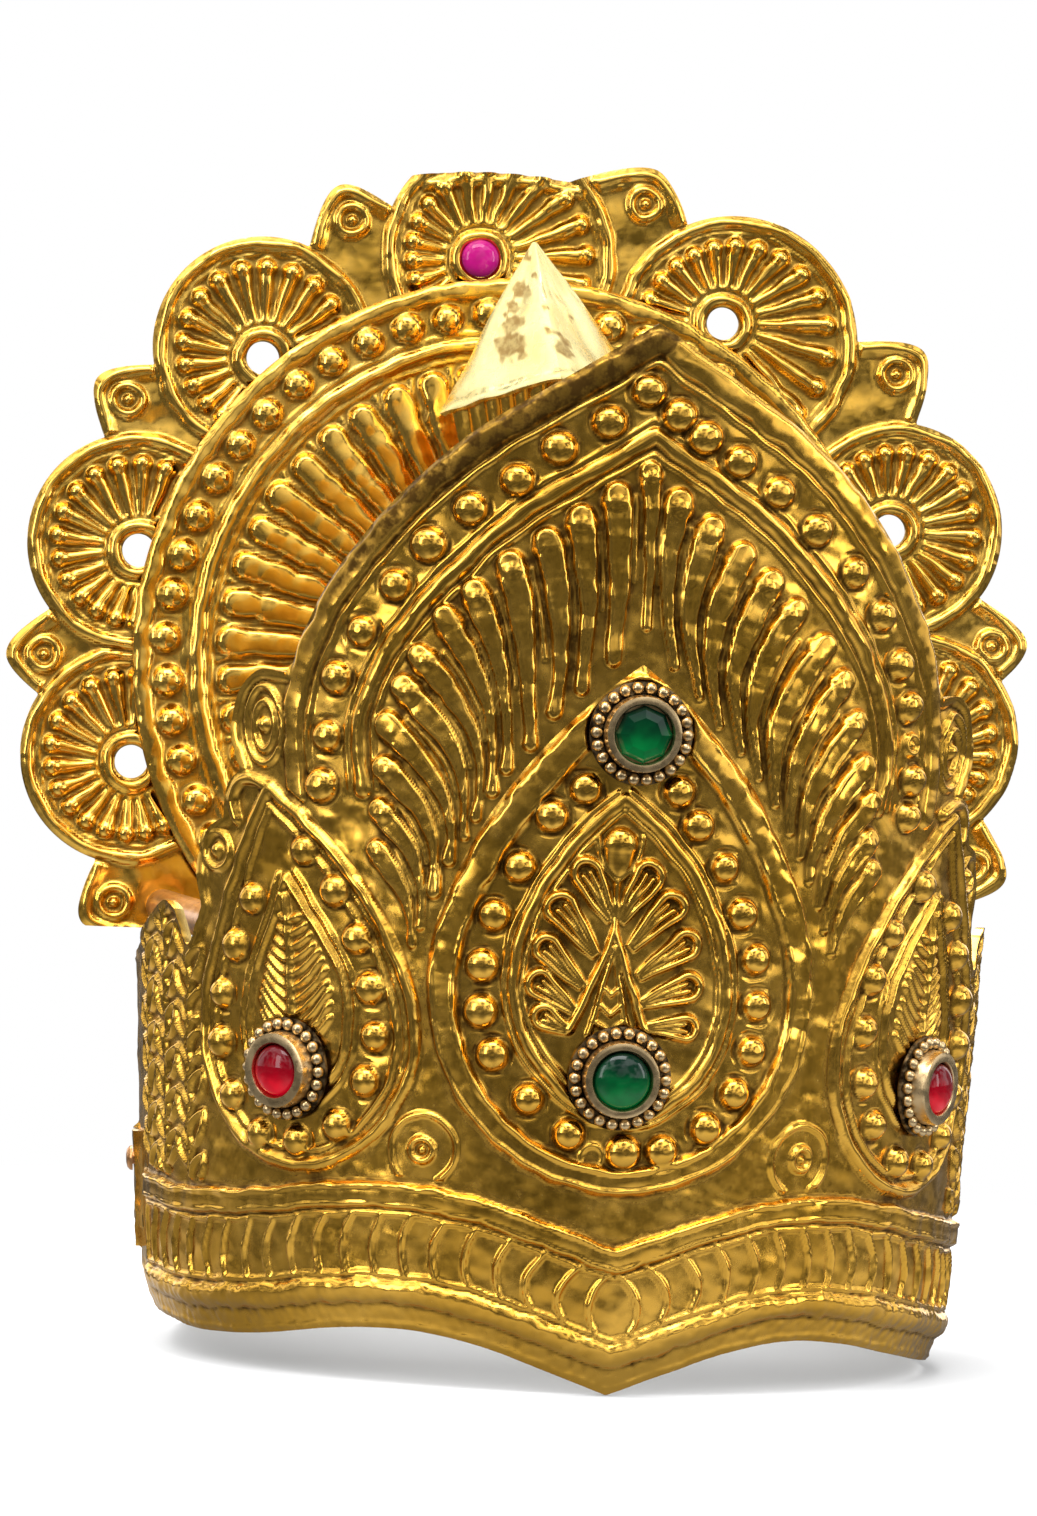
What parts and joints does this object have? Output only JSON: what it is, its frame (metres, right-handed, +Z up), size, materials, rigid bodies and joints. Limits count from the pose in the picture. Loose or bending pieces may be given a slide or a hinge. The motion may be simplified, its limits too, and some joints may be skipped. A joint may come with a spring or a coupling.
{
  "type": "deity crown",
  "caption": "Open crown of embossed gilt sheet with a tall pointed front, a scalloped halo behind it and set stones; it sits on a head or a statue.",
  "frame": {"origin": "bottom centre of the crown's bounding box, on the floor; the ring's axis passes at x -4.7 mm, y +2.7 mm", "axes": "+Z up, the pointed front faces -Y, +X is to the right of someone who looks at the front"},
  "size_m": [0.232, 0.1872, 0.2581],
  "materials": {
    "gilt_sheet": "hammered, antique",
    "gilt_halo": "hammered, bright",
    "pale_gilt": "worn, pitted",
    "antique_bronze": "oxidised, rubbed bright on the beads",
    "copper": "satin",
    "green_stone": "polished",
    "red_stone": "polished",
    "pink_stone": "polished"
  },
  "bodies": {
    "root": {"front_sheet": "gilt_sheet", "rear_sheet": "gilt_sheet", "side_rivet_left": "copper", "side_rivet_right": "copper", "petal_plate": "gilt_halo", "halo_disc": "gilt_halo", "tail_rivet_left": "gilt_halo", "tail_rivet_right": "gilt_halo", "halo_stay_left": "copper", "halo_stay_right": "copper", "finial_cap": "pale_gilt", "finial_neck": "gilt_sheet", "finial_post": "gilt_halo", "setting_green_upper": "antique_bronze", "setting_green_lower": "antique_bronze", "setting_red_left": "antique_bronze", "setting_red_right": "antique_bronze", "stone_green_upper": "green_stone", "stone_green_lower": "green_stone", "stone_red_left": "red_stone", "stone_red_right": "red_stone", "stone_pink": "pink_stone"}
  },
  "joints": []
}
